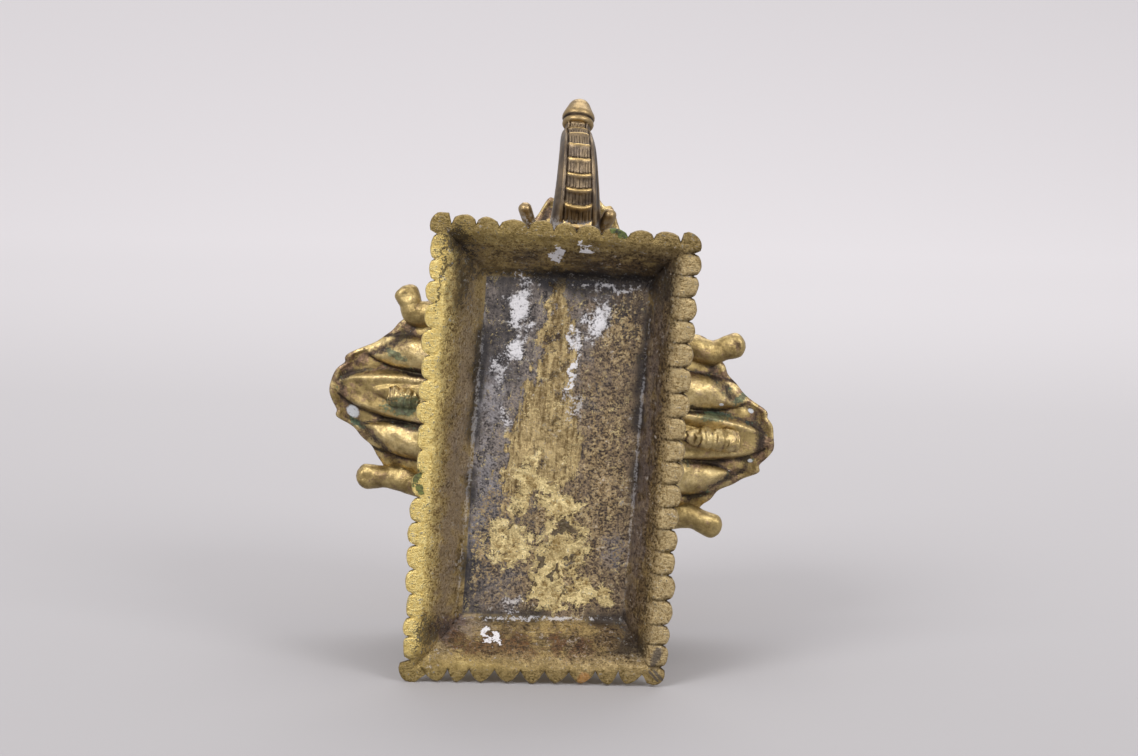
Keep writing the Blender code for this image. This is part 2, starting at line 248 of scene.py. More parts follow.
# Lotus foot
# A hollow rectangular foot, cast in one with its skirt of lotus petals. Its rim is filed by hand, its walls
# are left as cast, and old solder, verdigris and a dark skin lie on the underside of its deck.
lobe_reach = 1.9 * mm
side_lobes, end_lobes = 19, 10
station_steps = 12
foot_height = foot_high.z - foot_low.z
side_slope, end_slope = 8.8 * mm, 10.7 * mm
deck_shift = 1.6 * mm
rim_slants = (-0.7 * mm, 4.3 * mm)  # how much further forward the right end of the front and rear edge lies
deck_slants = (2.5 * mm, 3.3 * mm)
slant_reach = (rim_slants[1] - rim_slants[0]) / 4
rim_half = (foot_high - foot_low) / 2 - Vector((lobe_reach, lobe_reach + slant_reach, 0))
corner_lobes = [1.5, 1.7, 2.3, 2.0]  # their reach at the front right, rear right, rear left and front left


def rings_shell(grid, **marks):
    """The points, faces and marks of a closed skin over rings of points."""
    rings, count = grid.shape[:2]
    first = (np.arange(rings - 1)[:, None] * count + np.arange(count)[None, :]).ravel()
    after = (np.arange(rings - 1)[:, None] * count + (np.arange(count)[None, :] + 1) % count).ravel()
    quads = np.stack([first, after, after + count, first + count], axis=1)
    last = (rings - 1) * count
    caps = [list(range(count))[::-1], list(range(last, last + count))]
    flat = {name: np.broadcast_to(values, grid.shape[:2]).ravel() for name, values in marks.items()}
    return grid.reshape(-1, 3), quads.tolist() + caps, flat


def cast_piece(name, shells, where, material, mark_names):
    """One mesh from several shells, each with points, faces and marks for the material."""
    points, faces, values = [], [], {mark_name: [] for mark_name in mark_names}
    for shell_points, shell_faces, shell_marks in shells:
        start = sum(len(part) for part in points)
        points.append(shell_points)
        faces += [[corner + start for corner in face] for face in shell_faces]
        for mark_name in mark_names:
            values[mark_name].append(shell_marks.get(mark_name, np.zeros(len(shell_points))))
    mesh = bpy.data.meshes.new(name)
    mesh.from_pydata(np.concatenate(points).tolist(), [], faces)
    for mark_name, parts in values.items():
        layer = mesh.attributes.new(mark_name, "FLOAT", "POINT")
        layer.data.foreach_set("value", np.concatenate(parts).astype(np.float32))
    mesh.polygons.foreach_set("use_smooth", np.ones(len(mesh.polygons), bool))
    mesh.materials.append(material)
    made = bpy.data.objects.new(name, mesh)
    made.location = where
    bpy.context.scene.collection.objects.link(made)
    return made


def lumps(points, size, seed):
    """Smooth hand-made unevenness, from about -1 to 1, at each point: many waves in random directions."""
    hand = np.random.default_rng(seed)
    count = 20
    waves = hand.normal(size=(3, count)) * 1.9 / size
    swell = np.sin(points.reshape(-1, 3) @ waves + hand.uniform(0, 2 * math.pi, count))
    return (swell.sum(axis=1) * 0.13).reshape(points.shape[:-1])


def bell(values, width):
    """1 where a value is 0, fading to nothing at about twice the width."""
    return np.exp(-((values / width) ** 2))


def smooth(values):
    """A soft step from 0 to 1."""
    values = np.clip(values, 0, 1)
    return values * values * (3 - 2 * values)


def lobe_shapes(across):
    """How far a lobe stands out across its width, for the right, rear, left and front edges in turn."""
    away = np.abs(across)
    round_lobe = np.sqrt(np.clip(1 - away**2, 0, 1))
    tooth = (1 - away**1.9) * 2.1 - 1.15
    filed = np.clip(1 - away**2.8, 0, 1) ** 0.6 * 1.25 - 0.3
    return [round_lobe * 1.05 - 0.05, tooth, filed, round_lobe * 1.25 - 0.3]


def foot_stations():
    """Points round the rim: place on a square, way out, place across a lobe, its reach, and edge marks."""
    hand = random.Random(4)
    corners = [Vector((1, -1)), Vector((1, 1)), Vector((-1, 1)), Vector((-1, -1))]
    rows = []
    for turn, (corner, lobes) in enumerate(zip(corners, [side_lobes, end_lobes, side_lobes, end_lobes])):
        along = corners[(turn + 1) % 4] - corner
        square = Vector((along.y, -along.x)).normalized()
        middles = [0.0, *[k + hand.uniform(-0.13, 0.13) for k in range(1, lobes)], float(lobes)]
        middles[1] += 0.2
        middles[-2] -= 0.2
        least = 0.45 if turn == 2 else 0.8
        between = [hand.uniform(least, 1.1) for _ in range(lobes - 1)]
        reaches = [corner_lobes[turn], *between, corner_lobes[(turn + 1) % 4]]
        for step in range(station_steps * lobes):
            place = step / station_steps
            lobe = round(place)
            share = np.interp(place, range(lobes + 1), middles) / lobes
            near = max(0.0, 1 - 2 * min(place, lobes - place))
            diagonal = (corner if share < 0.5 else corners[(turn + 1) % 4]).normalized()
            outward = square.lerp(diagonal, near**0.7).normalized()
            across = 2 * (place - lobe)
            shape = lobe_shapes(across)[turn] * (1 - near) + lobe_shapes(across)[0] * near
            on_edge = corner + along * share
            shape = max(shape, -0.55) if lobe in (0, lobes) else shape
            rows.append((*on_edge, *outward, across, shape * reaches[lobe], turn == 0, near))
    return np.array(rows).T


place_x, place_y, out_x, out_y, across, lobe_out, right_edge, by_corner = foot_stations()
# the walls from the deck's edge down outside to the rim, and up inside to the deck's underside
levels = np.array(
    [
        # inset, lean, height, lobe, petal, rim, inside
        (1.70, 1.00, 18.0, 0.00, 0.0, 0, 0),
        (1.40, 1.00, 17.8, 0.00, 0.0, 0, 0),
        (1.35, 1.00, 17.0, 0.00, 0.0, 0, 0),
        (1.60, 1.00, 16.6, 0.00, 0.0, 0, 0),
        (2.40, 1.00, 16.2, 0.00, 0.0, 0, 0),
        (2.40, 1.00, 15.7, 0.00, 0.2, 0, 0),
        (1.70, 0.94, 15.0, 0.05, 0.8, 0, 0),
        (1.25, 0.84, 13.4, 0.15, 1.0, 0, 0),
        (1.10, 0.66, 10.4, 0.35, 1.0, 0, 0),
        (1.10, 0.48, 7.60, 0.55, 1.0, 0, 0),
        (1.00, 0.30, 5.00, 0.75, 1.0, 0, 0),
        (0.60, 0.12, 2.80, 0.95, 0.8, 0, 0),
        (0.15, 0.00, 1.70, 1.00, 0.3, 0.5, 0),
        (0.00, 0.00, 1.20, 1.00, 0.0, 1, 0),
        (0.00, 0.00, 0.50, 1.00, 0.0, 1, 0),
        (0.20, 0.00, 0.12, 0.98, 0.0, 1, 0.5),
        (0.60, 0.00, 0.00, 0.88, 0.0, 1, 1),
        (1.60, 0.00, 0.00, 0.45, 0.0, 1, 1),
        (2.60, 0.00, 0.12, 0.10, 0.0, 1, 1),
        (3.40, 0.00, 0.50, 0.00, 0.0, 0.85, 1),
        (4.10, 0.03, 1.30, 0.00, 0.0, 0.62, 1),
        (4.60, 0.12, 2.70, 0.00, 0.0, 0.4, 1),
        (4.65, 0.28, 4.80, 0.00, 0.0, 0.18, 1),
        (4.40, 0.55, 8.40, 0.00, 0.0, 0, 1),
        (4.20, 0.82, 12.0, 0.00, 0.0, 0, 1),
        (4.20, 0.95, 14.0, 0.00, 0.0, 0, 1),
        (4.60, 1.01, 14.8, 0.00, 0.0, 0, 1),
    ]
)
between = np.linspace(0, len(levels) - 1, 3 * (len(levels) - 1) + 1)
columns = [np.interp(between, range(len(levels)), column)[:, None] for column in levels.T]
inset, lean, height, lobe_share, petal_share, rim_mark, inside_mark = columns
rounded = np.sqrt(np.clip(1 - across**2, 0, 1)) ** 0.85
petal_lines = 0.25 * bell(across, 0.12) - 0.35 * bell(np.abs(across) - 0.62, 0.1)
petal_rise = petal_share * (0.9 * rounded + petal_lines) * mm
reach = lobe_reach * lobe_out * lobe_share + petal_rise
half_width = rim_half.x - inset * mm - lean * side_slope
half_length = rim_half.y - inset * mm - lean * end_slope
front, rear = [rim + (deck - rim) * lean for rim, deck in zip(rim_slants, deck_slants)]
slant = front + (rear - front) * (place_y + 1) / 2
cut_back = 1.7 * mm * by_corner * lobe_share
square_x = np.clip(place_x * rim_half.x, -half_width, half_width)
square_y = np.clip(place_y * rim_half.y, -half_length, half_length)
wall_x = square_x + out_x * (reach - cut_back) + lean * deck_shift
wall_y = square_y - place_x * slant / 2 + out_y * (reach - cut_back)
# the lobe on each corner is a round one
knob_radius = np.where(place_x > 0, np.where(place_y > 0, 3.4, 4.4), 4.5) * mm
knob_x = np.sign(place_x) * (half_width - 0.6 * knob_radius)
knob_y = np.sign(place_y) * (half_length - 0.5 * knob_radius) - place_x * slant / 2
off_knob = np.maximum(np.hypot(wall_x - knob_x, wall_y - knob_y), 0.1 * mm)
pull = (knob_radius / off_knob - 1) * (smooth(4 * by_corner) * smooth(lobe_share * 1.6))
wall_x = wall_x + (wall_x - knob_x) * pull
wall_y = wall_y + (wall_y - knob_y) * pull
filed_in = np.clip((inset - 0.3) / 4.2, 0, 1) * (inside_mark > 0.4)  # from the rim's edge to its inner bend
gap = np.clip(np.abs(across) - 0.55, 0, 0.45) / 0.45
puffed = right_edge * (0.8 * gap**2 * (1 - smooth(filed_in * 1.5)) * (filed_in > 0)) * mm
nicked = (1 - right_edge) * 0.5 * gap**4 * bell(filed_in, 0.35) * (filed_in > 0) * mm
walls = np.stack([wall_x, wall_y, height * mm + puffed + nicked], axis=2)

deck_middle = np.array([deck_shift, 0, 0])
plate_reach = np.linspace(0.985, 0.02, 26)
plate_shares = plate_reach[:, None, None] ** np.array([1, 1, 0])
plate = (walls[-1] - deck_middle) * plate_shares + deck_middle
deck = ((walls[0] - deck_middle) * plate_shares[::4] + deck_middle)[::-1]
plate[:, :, 2] += 0.1 * mm
foot_grid = np.concatenate([deck, walls, plate])


def foot_mark(of_walls, of_plate):
    """A mark that is 0 on the deck's top and has these values on the rows of the walls and the plate."""
    rows = np.concatenate([np.zeros(len(deck)), of_walls[:, 0], of_plate * np.ones(len(plate))])
    return rows[:, None]


on_rim = foot_mark(rim_mark, 0)
inside = foot_mark(inside_mark, 1)
on_plate = foot_mark(0 * inside_mark, 1)
on_petals = foot_mark(petal_share, 0)
# the nook mark is the bend where the inner walls meet the plate, which the material darkens as painted shade
nook = foot_mark(bell(15.0 - height, 2.4) * inside_mark, bell(1 - plate_reach, 0.09))
uneven = 0.26 * lumps(foot_grid, 9 * mm, 1) + 0.14 * lumps(foot_grid, 2.5 * mm, 2)
off_floor = np.clip(foot_grid[:, :, 2] / (0.6 * mm), 0, 1)
foot_grid[:, :, 2] += uneven * mm * off_floor * np.where(inside > 0, 1.3, 0.5)
foot_grid[:, :, 0] += uneven * mm * (1 - on_plate) * out_x * 0.9
foot_grid[:, :, 1] += uneven * mm * (1 - on_plate) * out_y * 0.9
foot_grid[:, :, 2] = np.clip(foot_grid[:, :, 2], 0, foot_height)
front_end, rear_end = foot_low.y - foot_centre.y, foot_high.y - foot_centre.y
foot_grid[:, :, 1] = np.clip(foot_grid[:, :, 1], front_end, rear_end)
# the creases between lobes, which the material darkens as painted shade
right_crease = right_edge * bell(1 - np.abs(across), 0.11) * on_rim * 0.8
edge_crease = bell(1 - np.abs(across), 0.2) * (on_petals + on_rim * (inside < 0.6))
crease = np.clip(edge_crease + right_crease, 0, 1)


def surface(name):
    """A new material, its shader's inputs, and the socket of places over the surface in millimetres."""
    material = bpy.data.materials.new(name)
    material.use_nodes = True
    tree = material.node_tree
    start = Socket(tree, tree.nodes.new("ShaderNodeTexCoord").outputs["Object"])
    place = start.put("ShaderNodeVectorMath", {"operation": "SCALE"}, start, Scale=1000)
    return material, tree.nodes["Principled BSDF"], place


def mark(place, name):
    """A mark stored with the mesh."""
    return place.put("ShaderNodeAttribute", {"attribute_name": name}, out=2)


def grain(place, size, detail, rough, stretch=None, turn=0.0):
    """Cloudy noise with features of this size in millimetres, from 0 to 1."""
    if stretch:
        sockets = {"Rotation": (0, 0, turn), "Scale": stretch}
        place = place.put("ShaderNodeMapping", {"vector_type": "POINT"}, Vector=place, **sockets)
    sockets = {"Scale": 1 / size, "Detail": detail, "Roughness": rough}
    return place.put("ShaderNodeTexNoise", None, Vector=place, **sockets)


def cut(noise, width=0.14):
    """Noise made harder, from -0.5 to 0.5. It turns over within this width of its middle."""
    return noise.over(0.5 - width, 0.5 + width) - 0.5


def mix(amount, one, other):
    """One colour where the amount is 0 and the other where it is 1."""
    blend = amount.put("ShaderNodeMix", {"data_type": "RGBA"}, amount, out=2)
    node = blend.output.node
    for key, value in ((6, one), (7, other)):
        if isinstance(value, Socket):
            amount.tree.links.new(value.output, node.inputs[key])
        else:
            node.inputs[key].default_value = value
    return blend


def stain(place, ragged, spot, soft):
    """A stain at x, y, with its half-sizes in millimetres and its turn: 1 inside it, with ragged edges."""
    x, y, wide, long, turn = spot
    reach = 3
    sockets = {
        "Location": (x, y, 0),
        "Rotation": (0, 0, math.radians(turn)),
        "Scale": (reach * wide, reach * long, 1000),
    }
    inside_it = place.put("ShaderNodeMapping", {"vector_type": "TEXTURE"}, Vector=place, **sockets)
    near = place.put("ShaderNodeTexGradient", {"gradient_type": "SPHERICAL"}, inside_it, out=1)
    return (near * reach - ragged).over(reach - 1 - soft, reach - 1 + soft)


def stains(place, ragged, spots, soft):
    """Several stains as one."""
    found = stain(place, ragged, spots[0], soft)
    for spot in spots[1:]:
        found = found.largest(stain(place, ragged, spot, soft))
    return found


def finish(shader, colour, roughness, metallic, relief, depth):
    """Sends colour, roughness, metal and relief, whose depth is in millimetres, to the shader."""
    tree = colour.tree
    for socket, value in (("Base Color", colour), ("Roughness", roughness), ("Metallic", metallic)):
        tree.links.new(value.output, shader.inputs[socket])
    bump = relief.put("ShaderNodeBump", None, Strength=1, Distance=depth * mm, Height=relief)
    tree.links.new(bump.output, shader.inputs["Normal"])


def torn(amount, grains):
    """A soft amount broken up into grains, as where a skin wears through."""
    return (amount + grains).over(0.38, 0.62)


def axes(place):
    """The x, y and z of each place, in millimetres."""
    return [place.put("ShaderNodeSeparateXYZ", None, place, out=axis) for axis in range(3)]


def waver(place):
    """Places moved about by up to 6.5 mm, which gives stains a wavering outline."""
    span = 13
    sockets = {"Scale": 0.2, "Detail": 4, "Roughness": 0.65}
    noise = place.put("ShaderNodeTexNoise", None, Vector=place, out=1, **sockets)
    bent = noise.put("ShaderNodeVectorMath", {"operation": "MULTIPLY_ADD"}, noise, (span, span, 0), place)
    return bent.put("ShaderNodeVectorMath", {"operation": "SUBTRACT"}, bent, (span / 2, span / 2, 0))


def foot_grains(place):
    """Four noises from fine to broad, and the two fine ones as one grit."""
    speck = cut(grain(place, 0.62, 1, 0.5))
    fleck = cut(grain(place, 1.3, 5, 0.8), width=0.12)
    cloud = cut(grain(place, 4.5, 6, 0.68))
    broad = cut(grain(place, 14, 3, 0.5), width=0.15)
    return speck, fleck, cloud, broad, speck * 0.55 + fleck * 0.75


def cast_walls(place, bent, grains):
    """Olive and brown walls, darker to the right, with dark runs, blots, a grey haze and painted shade."""
    _, fleck, cloud, broad, grit = grains
    x, y, _ = axes(place)
    olive = mix(grit + 0.5, tone(122, 102, 66), tone(198, 173, 116))
    brown = mix(grit + 0.5, tone(50, 40, 34), tone(138, 114, 78))
    wall = mix((cloud * 0.9 + broad * 0.5 + x * 0.014 + 0.42).over(0, 1), olive, brown)
    along_end = grain(place, 2.2, 5, 0.75, (0.22, 1.0, 1.0), 0.02).over(0.5, 0.62)
    along_side = grain(place, 2.2, 5, 0.75, (1.0, 0.2, 1.0), 0.02).over(0.5, 0.62)
    by_end = (abs(y) - abs(x)).over(22, 30)
    runs = along_end * by_end + along_side * (1 - by_end) * (x * 0.05).over(-1.2, 1)
    wall = mix(runs * 0.6, wall, tone(58, 47, 38))
    blot_places = [(-9, 60, 10, 4, 0), (6, 57, 2.4, 3, 0), (13, 60, 3, 5, 20), (-26, 57, 5, 4, 30)]
    blots = stains(bent, cloud * 0.5, blot_places, 0.6)
    blot = mix(fleck + 0.5, tone(44, 38, 40), tone(112, 74, 46))
    wall = mix(torn(blots, grit * 0.6) * 0.8, wall, blot)
    haze_places = [(-27, 10, 3.2, 70, 1), (28, 0, 2.2, 60, 1), (-20, 55, 7, 2, 0)]
    haze = stains(bent, cloud * 0.4, haze_places, 0.9)
    wall = mix((haze * 0.8 + grit * 0.5).over(0.1, 1.1) * 0.55, wall, tone(132, 122, 126))
    # painted shade in the corners and along the front end, where the walls meet the deck
    painted_shade_places = [
        (-32, -59, 5, 6, 30),
        (30, 57, 5, 5, -30),
        (-29, -50, 2.5, 9, 0),
        (0, -52.4, 28, 1.6, -2),
        (30, -52, 4, 7, 0),
    ]
    dark = stains(bent, cloud * 0.5, painted_shade_places, 0.8)
    return mix((dark + grit * 0.8).over(0.25, 1.0) * 0.8, wall, tone(44, 38, 36))


def dark_skin(place, bent, grains, drags):
    """The skin on the deck's underside, grey to blue, with painted shade, and where tan dust lies on it."""
    _, fleck, cloud, _, grit = grains
    x, y, _ = axes(place)
    grey = mix(grit * 0.8 + drags * 0.4 + 0.5, tone(48, 44, 45), tone(162, 150, 142))
    warm = mix(grit + 0.5, tone(54, 43, 37), tone(166, 142, 112))
    skin = mix((x * 0.05 + y * 0.012 + cloud * 0.9).over(-0.5, 0.7), grey, warm)
    blue_places = [(-18, -14, 4, 15, 4), (-18, 12, 4.5, 12, 0), (21.5, 30, 4, 6, 0), (-21, 28, 2.4, 14, 4)]
    blue = stains(bent, cloud * 0.5, blue_places, 0.8)
    skin = mix((blue * 0.9 + grit * 0.7 + drags * 0.5).over(0.25, 1.2) * 0.6, skin, tone(158, 156, 162))
    # painted shade on the plate, most of it along its front edge by the wall
    shade_places = [(-15, -34, 7, 15, 0), (18, -42, 9, 8, 0), (-3, -50, 24, 4, -2), (-21, 40, 4, 12, 0)]
    shade = stains(bent, cloud * 0.6, shade_places, 0.8)
    skin = mix((shade * 0.9 + grit * 0.4 - 0.1).over(0.1, 0.9) * 0.75, skin, tone(50, 47, 50))
    dust_places = [(16, 5, 9, 30, 0), (-14, 28, 7, 18, 8), (4, 26, 20, 24, 0), (19, -34, 7, 12, 0)]
    dust = stains(bent, cloud * 0.7, dust_places, 0.9)
    dusty = torn(dust * 0.66 - 0.06, grit * 0.8 + drags * 0.55 + cloud * 0.3)
    return mix(dusty, skin, mix(fleck + 0.5, tone(120, 98, 70), tone(196, 172, 130))), dusty


def rubbed_gold(place, bent, grains, skin, dusty):
    """Gold rubbed through the skin down the middle and at the rear. Gives colour, gold and dark holes."""
    _, fleck, cloud, _, grit = grains
    strokes = cut(grain(place, 1.4, 5, 0.75, (1.0, 0.12, 1.0), 0.06))
    swirls = cut(grain(bent, 2.4, 6, 0.75, (1.0, 0.45, 1.0), 0.6), width=0.12)
    tongue_places = [
        (0.2, -27, 5.4, 13, 1),
        (-0.5, -45, 2.6, 8, 0),
        (2.2, -2, 5.6, 18, 3),
        (-7.5, 2, 5.5, 17, 5),
        (-3.5, -13, 6, 10, 12),
    ]
    tongue = stains(bent, cloud * 0.25, tongue_places, 0.45)
    rubbed = torn(tongue * 1.3, strokes * 0.7 + grit * 0.2 - cloud * 0.25)
    olive = mix(strokes * 0.8 + fleck * 0.6 + 0.5, tone(122, 101, 66), tone(212, 188, 136))
    colour = mix(rubbed * 0.92, skin, olive)
    rear_places = [
        (5, 19, 5, 10, -28),
        (-10, 29.5, 6, 6, -40),
        (-6.5, 12, 2.6, 9, 12),
        (3, 43, 6, 7, 10),
        (12, 44, 6, 4, -20),
        (19.5, 43.5, 3, 2, 0),
        (5, 32, 8, 7, 0),
    ]
    at_rear = stains(bent, cloud * 0.4, rear_places, 0.6)
    fresh = torn(at_rear * 1.2, swirls * 0.9 + grit * 0.35)
    golden = mix(swirls * 0.7 + fleck * 0.5 + 0.5, tone(158, 132, 84), tone(252, 232, 174))
    colour = mix(fresh * 0.95, colour, golden)
    gold = fresh.largest(rubbed * 0.85).largest(dusty * 0.5)
    islands = grain(bent, 3.4, 6, 0.8).over(0.57, 0.62) * gold
    hole_places = [
        (6.7, 24.4, 3.4, 2.0, 10),
        (0.4, 34.5, 1.1, 2.4, 0),
        (8, 34, 1.6, 1.6, 0),
        (4.5, 38, 1, 1.4, 0),
        (-1.4, -33, 1, 3, 20),
    ]
    holes = torn(stains(bent, cloud * 0.4, hole_places, 0.4), grit * 0.5).largest(islands)
    return mix(holes * 0.85, colour, mix(grit + 0.5, tone(46, 40, 40), tone(96, 82, 74))), gold, holes


def white_blooms(place, bent, grains, drags):
    """White salts and old solder: blooms, faint ones, a pale seam round the deck and flecks on the walls."""
    _, fleck, cloud, _, grit = grains
    bloom_places = [
        (-11.4, -42, 2.6, 7, 0),
        (-11.8, -29, 2.0, 4.4, 0),
        (11.3, -39, 3.2, 4.6, 20),
        (5.2, -33, 1.3, 3, -20),
        (5.2, -22, 0.6, 9, 3),
    ]
    faint_places = [
        (-14, -8, 1.6, 4, 0),
        (7, -12, 2, 4, 0),
        (-17, -22, 2, 5, 0),
        (-8, 48.5, 6, 1.6, 0),
        (16, -49, 8, 1.0, -3),
    ]
    blooms = stains(bent, cloud * 0.5, bloom_places, 0.9)
    white = (blooms * 1.2 + grit * 0.75 + drags * 0.2).over(0.3, 1.0)
    faint = stains(bent, cloud * 0.5, faint_places, 0.9)
    white = white.largest((faint * 0.9 + grit * 0.9).over(0.45, 1.1) * 0.7)
    end_seams = stains(place, cloud * 0.9, [(0, 51.9, 21, 0.7, -4.2), (12, -49.9, 9, 0.5, -3)], 0.9)
    seam = torn(end_seams * 0.9, fleck * 0.9 + cloud * 0.7 - 0.25)
    side_seams = stains(place, cloud * 0.5, [(-23.2, 5, 0.7, 46, 1.2), (26.2, 0, 0.5, 40, 0.6)], 0.8)
    seam = seam.largest((side_seams + grit * 0.8 + drags * 0.6 - 0.1).over(0.4, 1.1) * 0.5)
    fleck_places = [
        (-14.8, 56.2, 1.4, 1.8, 0),
        (-11.6, 57.4, 1.8, 0.8, 20),
        (-2, -59, 2.2, 2.4, 0),
        (6.2, -61.5, 2.2, 1.4, 0),
    ]
    flecks = torn(stains(bent, cloud * 0.3, fleck_places, 0.4), grit * 0.6)
    return white.largest(seam * 0.55).largest(flecks)


def filed_rim(place, grains, nook):
    """The rim's filed face: yellow on the left, duller on the right and dusky at both ends, with pits."""
    speck, fleck, cloud, _, grit = grains
    x, y, _ = axes(place)
    shine = fleck * 0.7 + speck * 0.3 + 0.5
    yellow = mix(shine, tone(204, 174, 98), tone(250, 230, 160))
    duller = mix(shine, tone(134, 112, 74), tone(216, 194, 148))
    dusky = mix(shine, tone(88, 73, 44), tone(166, 143, 94))
    filed = mix((x * 0.05 + y * 0.01 + cloud * 0.5).over(-0.8, 0.9), yellow, duller)
    ends = (abs(y) * 0.25 + cloud * 0.8 + grit * 0.5).over(14.4, 16.2)
    filed = mix(ends * 0.9, filed, dusky)
    pitted = (grit + cloud * 0.4 + nook).over(0.3, 0.5)
    return mix(pitted * 0.38, filed, tone(92, 72, 44))


marks = {"rim": on_rim, "inside": inside, "plate": on_plate, "crease": crease, "nook": nook}


def foot_metal():
    """Old brass on every face of the foot, from its deck out to the petals."""
    material, shader, place = surface("foot_brass")
    rim, inside, on_plate, creased, nook = [mark(place, name) for name in marks]
    bent = waver(place)
    grains = foot_grains(place)
    speck, fleck, cloud, broad, grit = grains
    wall = cast_walls(place, bent, grains)
    drags = cut(grain(place, 2.2, 5, 0.75, (1.0, 0.25, 1.0), 0.05))
    skin, dusty = dark_skin(place, bent, grains, drags)
    skin, gold, holes = rubbed_gold(place, bent, grains, skin, dusty)
    pale = white_blooms(place, bent, grains, drags) * inside
    colour = mix(on_plate, wall, skin)
    # painted shade at the bend between the inner walls and the plate, darker towards the foot's front end,
    # broken up by grit
    grime_and_painted_shade = (nook * 0.8 + grit * 0.5 + broad * 0.8 - axes(place)[1] * 0.004).over(0.35, 1.1)
    colour = mix(grime_and_painted_shade * 0.85, colour, tone(38, 36, 39))

    # the rim, with a grey scrape and scratches at the rear right, a reddened lobe and a cracked corner
    bright_rim = rim * (1 - creased * 0.9)
    filed = filed_rim(place, grains, nook)
    colour = mix((bright_rim * 1.1 + grit * 0.35 + cloud * 0.3).over(0.15, 0.95), colour, filed)
    grey_places = [(36.1, 57.6, 1.3, 3.2, 20), (37, 63.2, 0.5, 2.6, -45), (35.8, 63.6, 0.4, 2.4, -45)]
    grey = stains(place, fleck * 0.4, grey_places, 0.3)
    colour = mix(grey * rim * 0.8, colour, tone(84, 78, 76))
    reddened = torn(stain(place, cloud * 0.5, (15.5, 67, 2.2, 2.4, 0), 0.5), grit * 0.6) * rim
    colour = mix(reddened * 0.4, colour, tone(196, 134, 78))
    crack_places = [
        (-33.4, -60, 1.4, 5, 14),
        (-35.4, -51, 0.8, 6, 8),
        (-36.2, -44, 0.5, 4, 4),
        (-31, -61, 5, 4, 0),
        (-32, 56, 4, 5, 0),
    ]
    crack = torn(stains(bent, cloud * 0.4, crack_places, 0.8) * 0.8, grit * 0.9)
    colour = mix(crack * 0.8, colour, tone(56, 47, 40))

    # the petals outside, with painted shade in the creases between lobes, and the blooms and verdigris on
    # top
    petals = mix(cloud + 0.5, tone(140, 118, 74), tone(196, 170, 112))
    petals = mix(creased.over(0.2, 0.8), petals, tone(70, 58, 42))
    colour = mix(((1 - inside) - rim).over(0.2, 0.8), colour, petals)
    colour = mix(creased * rim * 0.85, colour, tone(56, 46, 34))
    colour = mix(pale * 0.92, colour, tone(232, 229, 232))
    green_places = [
        (-38.2, 9, 1.4, 3, 20),
        (-37.2, 12.6, 1, 2, -30),
        (16.3, -67, 1.8, 1.6, 0),
        (14, -67.6, 1.4, 1, 0),
    ]
    green = torn(stains(place, cloud * 0.5, green_places, 0.5), grit * 0.7)
    colour = mix(green * 0.9, colour, mix(fleck + 0.5, tone(16, 34, 28), tone(86, 102, 36)))

    rough = 0.46 + speck * 0.16 + pale * 0.3 + green * 0.2
    skinned = on_plate * (1 - gold) * 0.6 + (1 - on_plate) * (1 - rim) * inside * 0.4
    metal = (1 - pale.largest(green * 0.9) - skinned).largest(0)
    striations = grain(place, 0.45, 2, 0.6, (0.14, 1.0, 1.0), 0.1) * rim * inside
    relief = speck * 0.22 + fleck * 0.3 + striations * 0.6 + gold * on_plate * 0.45
    relief = relief - holes * 0.4 + pale * 0.4 - grime_and_painted_shade * 0.3
    finish(shader, colour, rough, metal, relief, 0.22)
    return material


foot_shell = rings_shell(foot_grid, **marks)
foot = cast_piece("lotus_foot_cast", [foot_shell], foot_centre, foot_metal(), list(marks))
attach(foot, "root")
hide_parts("lotus_foot")

# Elephant
# A figure cast solid in a darker brass, soldered to the foot's deck, with a stem for the pan on its back.
# Its trunk reaches out over the foot's front and ends in a knob. Filed scutes run along its underside.
figure_low, figure_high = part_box("elephant")
figure_base = Vector((foot_centre.x, foot_centre.y, figure_low.z))
leg_spread, leg_radius = 12.5, 6.8
trunk_reach, trunk_lift = 102, 31
trunk_shifts = (3.4, 1.2)  # of its root and its tip to the figure's left
trunk_root, trunk_tip = 9.4, 4.2  # radii
trunk_twist = 0.16
trunk_steps, trunk_points = 38, 112  # between two points of its line, and round it
scutes, strokes_across = 13, 8.5
strip_share = 0.62  # the strip's half-width, as a share of the trunk's radius
knob_length = 9.5
tusk_radius, tusk_spread, tusk_reach = 1.9, 13.5, 71.5
cloth_middle, cloth_half = (0, 1, 26.5), (18.8, 17, 15.2)


def ball(bm, centre, size, lean=0.0):
    """An ellipsoid, leaned about X."""
    place = Matrix.Translation(centre) @ Matrix.Rotation(math.radians(lean), 4, "X")
    shape = Matrix.Diagonal((*size, 1))
    bmesh.ops.create_uvsphere(bm, u_segments=32, v_segments=20, radius=1, matrix=place @ shape)


def limb(bm, points, radii):
    """A tapering limb: a ball at each point and a cone between each two."""
    for point, radius in zip(points, radii):
        ball(bm, point, (radius, radius, radius))
    for start, end, low, high in zip(points, points[1:], radii, radii[1:]):
        along = Vector(end) - Vector(start)
        place = Matrix.Translation((Vector(start) + Vector(end)) / 2)
        turn = along.to_track_quat("Z", "Y").to_matrix().to_4x4()
        settings = {"cap_ends": True, "segments": 28, "radius1": low, "radius2": high}
        bmesh.ops.create_cone(bm, depth=along.length, matrix=place @ turn, **settings)


